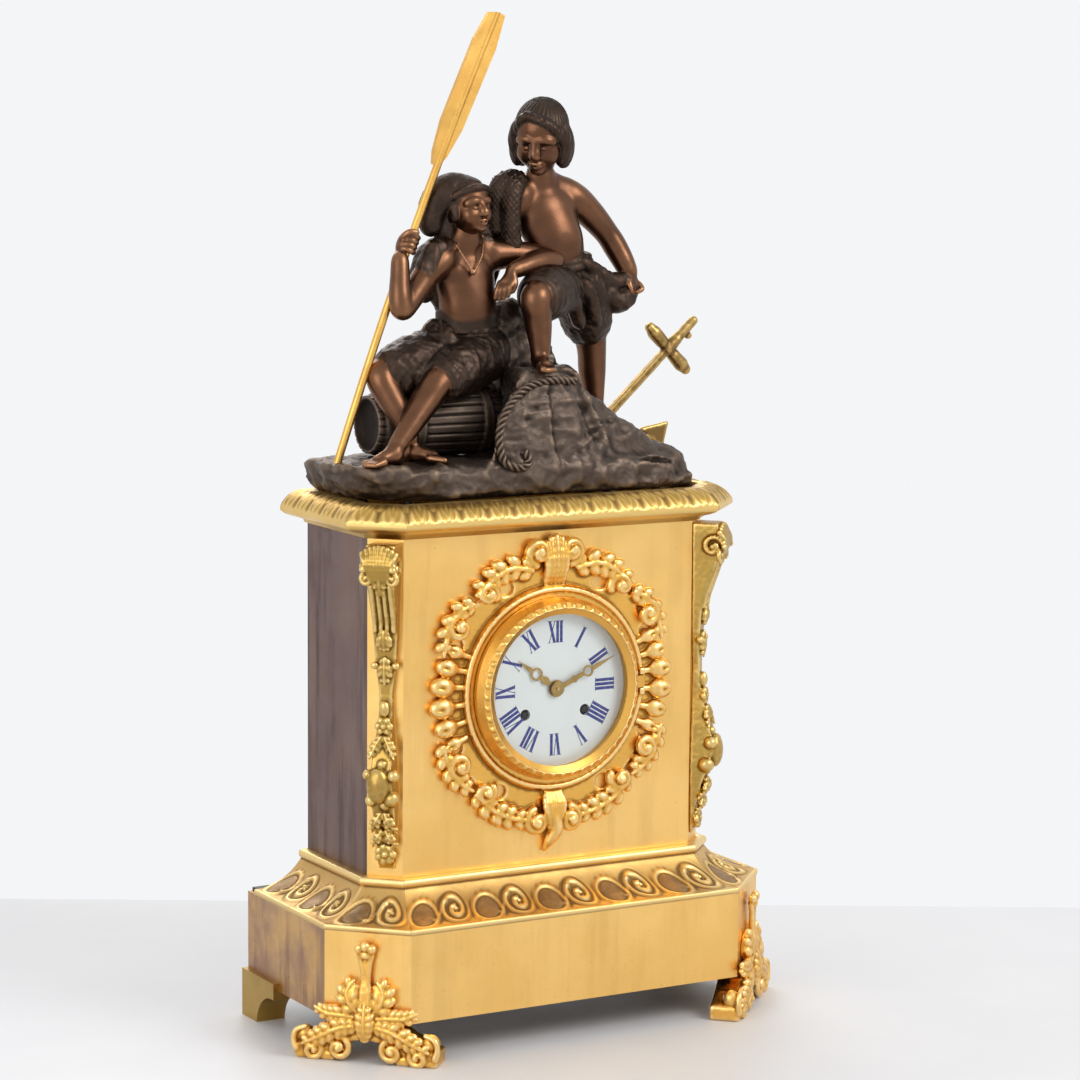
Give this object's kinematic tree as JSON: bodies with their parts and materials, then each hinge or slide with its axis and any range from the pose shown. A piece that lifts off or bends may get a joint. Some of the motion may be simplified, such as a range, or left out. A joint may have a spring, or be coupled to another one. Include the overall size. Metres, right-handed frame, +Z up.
{
  "type": "figural mantel clock",
  "caption": "Gilt bronze mantel clock on scrolled feet, round enamel dial in a pierced surround, with fisher boys, oar, keg and anchor on a rock above.",
  "frame": {"origin": "middle of the footprint on the floor", "axes": "+X to the right seen from the dial side, +Y to the rear, +Z up"},
  "size_m": [0.324, 0.156, 0.583],
  "materials": {
    "satin_gilt": "satin fire gilt",
    "dull_gilt": "worn dull gilt",
    "rich_gilt": "rich burnished gilt",
    "dark_patina": "dark brown patina",
    "brown_bronze": "warm brown patina",
    "enamel": "glossy white enamel with blue numerals",
    "clear_glass": "clear",
    "hand_brass": "pierced and gilt",
    "iron": "dark iron",
    "steel": "polished steel",
    "bell_metal": "bell metal",
    "movement_brass": "polished brass"
  },
  "bodies": {
    "case": {"anchor": "brown_bronze", "back_plate": "dull_gilt", "base_plate": "iron", "bell": "bell_metal", "bell_stand": "movement_brass", "consoles": "dull_gilt", "cornice_front": "dull_gilt", "cornice_left": "dull_gilt", "cornice_right": "dull_gilt", "cove_front": "dull_gilt", "cove_left": "dull_gilt", "cove_right": "dull_gilt", "dial_plate": "movement_brass", "dial_surround": "rich_gilt", "enamel_dial": "enamel", "front_feet": "satin_gilt", "front_movement_plate": "movement_brass", "front_plate": "satin_gilt", "hinge_pins": "steel", "keg": "dark_patina", "movement_straps": "movement_brass", "oar": "rich_gilt", "pilasters": "satin_gilt", "pillars": "movement_brass", "plinth_corners": "satin_gilt", "plinth_front": "satin_gilt", "plinth_rear": "satin_gilt", "plinth_sides": "satin_gilt", "rear_feet": "satin_gilt", "rear_movement_plate": "movement_brass", "rear_ring": "movement_brass", "rock_mound": "dark_patina", "rope": "dark_patina", "seated_boy": "brown_bronze", "side_panels": "dark_patina", "standing_boy": "brown_bronze", "suspension_cock": "movement_brass", "tie_rods": "iron", "top_plate": "satin_gilt"},
    "bezel": {"bezel_ring": "satin_gilt", "bezel_glass": "clear_glass"},
    "rear_door": {"rear_door": "movement_brass"},
    "minute": {"minute_hand": "hand_brass", "cannon_pinion": "steel"},
    "hour": {"hour_hand": "hand_brass", "hour_wheel": "movement_brass"},
    "minute_wheel": {"minute_wheel": "movement_brass"},
    "going_barrel": {"going_barrel": "movement_brass"},
    "second_wheel": {"second_wheel": "movement_brass"},
    "centre_wheel": {"centre_wheel": "movement_brass"},
    "third_wheel": {"third_wheel": "movement_brass"},
    "escape_wheel": {"escape_wheel": "movement_brass"},
    "pallets": {"pallets": "steel"},
    "pendulum": {"pendulum_rod": "movement_brass", "pendulum_bob": "movement_brass"},
    "going_winding": {"going_winding_arbor": "steel"},
    "strike_winding": {"strike_winding_arbor": "steel"},
    "strike_barrel": {"strike_barrel": "movement_brass"},
    "pin_wheel": {"pin_wheel": "movement_brass"},
    "hammer": {"hammer": "steel"}
  },
  "joints": [
    {"name": "bezel_hinge", "type": "hinge", "parent": "case", "child": "bezel", "pos_m": [0.0565, -0.0322, 0.1995], "axis": [0, 0, 1], "range_deg": [0, 100]},
    {"name": "rear_door_hinge", "type": "hinge", "parent": "case", "child": "rear_door", "pos_m": [0.054, 0.0733, 0.1995], "axis": [0, 0, -1], "range_deg": [0, 110]},
    {"name": "minute_hand_turn", "type": "hinge", "parent": "case", "child": "minute", "pos_m": [0, -0.03, 0.1995], "axis": [0, 1, 0], "continuous": true},
    {"name": "hour_hand_turn", "type": "hinge", "parent": "case", "child": "hour", "pos_m": [0, -0.03, 0.1995], "axis": [0, 1, 0], "continuous": true},
    {"name": "minute_wheel_turn", "type": "hinge", "parent": "case", "child": "minute_wheel", "pos_m": [-0.00688, -0.023, 0.20933], "axis": [0, 1, 0], "continuous": true},
    {"name": "third_wheel_turn", "type": "hinge", "parent": "case", "child": "third_wheel", "pos_m": [-0.01009, 0, 0.21241], "axis": [0, 1, 0], "continuous": true},
    {"name": "escape_wheel_turn", "type": "hinge", "parent": "case", "child": "escape_wheel", "pos_m": [0, 0, 0.22353], "axis": [0, 1, 0], "continuous": true},
    {"name": "centre_wheel_turn", "type": "hinge", "parent": "case", "child": "centre_wheel", "pos_m": [0, 0, 0.1995], "axis": [0, 1, 0], "continuous": true},
    {"name": "second_wheel_turn", "type": "hinge", "parent": "case", "child": "second_wheel", "pos_m": [0.01622, 0, 0.20633], "axis": [0, 1, 0], "continuous": true},
    {"name": "going_barrel_turn", "type": "hinge", "parent": "case", "child": "going_barrel", "pos_m": [0.0197, 0, 0.1854], "axis": [0, 1, 0], "continuous": true},
    {"name": "pendulum_swing", "type": "hinge", "parent": "case", "child": "pendulum", "pos_m": [0, 0.027, 0.23703], "axis": [0, 1, 0], "range_deg": [-3, 3]},
    {"name": "pallet_rock", "type": "hinge", "parent": "case", "child": "pallets", "pos_m": [0, 0, 0.23703], "axis": [0, 1, 0], "range_deg": [-3, 3]},
    {"name": "going_winding_turn", "type": "hinge", "parent": "case", "child": "going_winding", "pos_m": [0.0197, -0.025, 0.1854], "axis": [0, 1, 0], "continuous": true},
    {"name": "strike_winding_turn", "type": "hinge", "parent": "case", "child": "strike_winding", "pos_m": [-0.0197, -0.025, 0.1854], "axis": [0, 1, 0], "continuous": true},
    {"name": "strike_barrel_turn", "type": "hinge", "parent": "case", "child": "strike_barrel", "pos_m": [-0.0197, 0, 0.1854], "axis": [0, 1, 0], "continuous": true},
    {"name": "pin_wheel_turn", "type": "hinge", "parent": "case", "child": "pin_wheel", "pos_m": [-0.02462, 0, 0.20604], "axis": [0, 1, 0], "continuous": true},
    {"name": "hammer_lift", "type": "hinge", "parent": "case", "child": "hammer", "pos_m": [-0.038, 0, 0.2135], "axis": [0, -1, 0], "range_deg": [0, 12]}
  ],
  "couplings": [
    {"joint": "hour_hand_turn", "follows": "minute_hand_turn", "ratio": 0.083333},
    {"joint": "minute_wheel_turn", "follows": "minute_hand_turn", "ratio": -0.33333},
    {"joint": "escape_wheel_turn", "follows": "third_wheel_turn", "ratio": -12},
    {"joint": "centre_wheel_turn", "follows": "third_wheel_turn", "ratio": -0.083333},
    {"joint": "second_wheel_turn", "follows": "third_wheel_turn", "ratio": 0.011905},
    {"joint": "going_barrel_turn", "follows": "third_wheel_turn", "ratio": -0.0019841},
    {"joint": "pallet_rock", "follows": "pendulum_swing", "ratio": 1},
    {"joint": "pin_wheel_turn", "follows": "strike_barrel_turn", "ratio": -6}
  ]
}
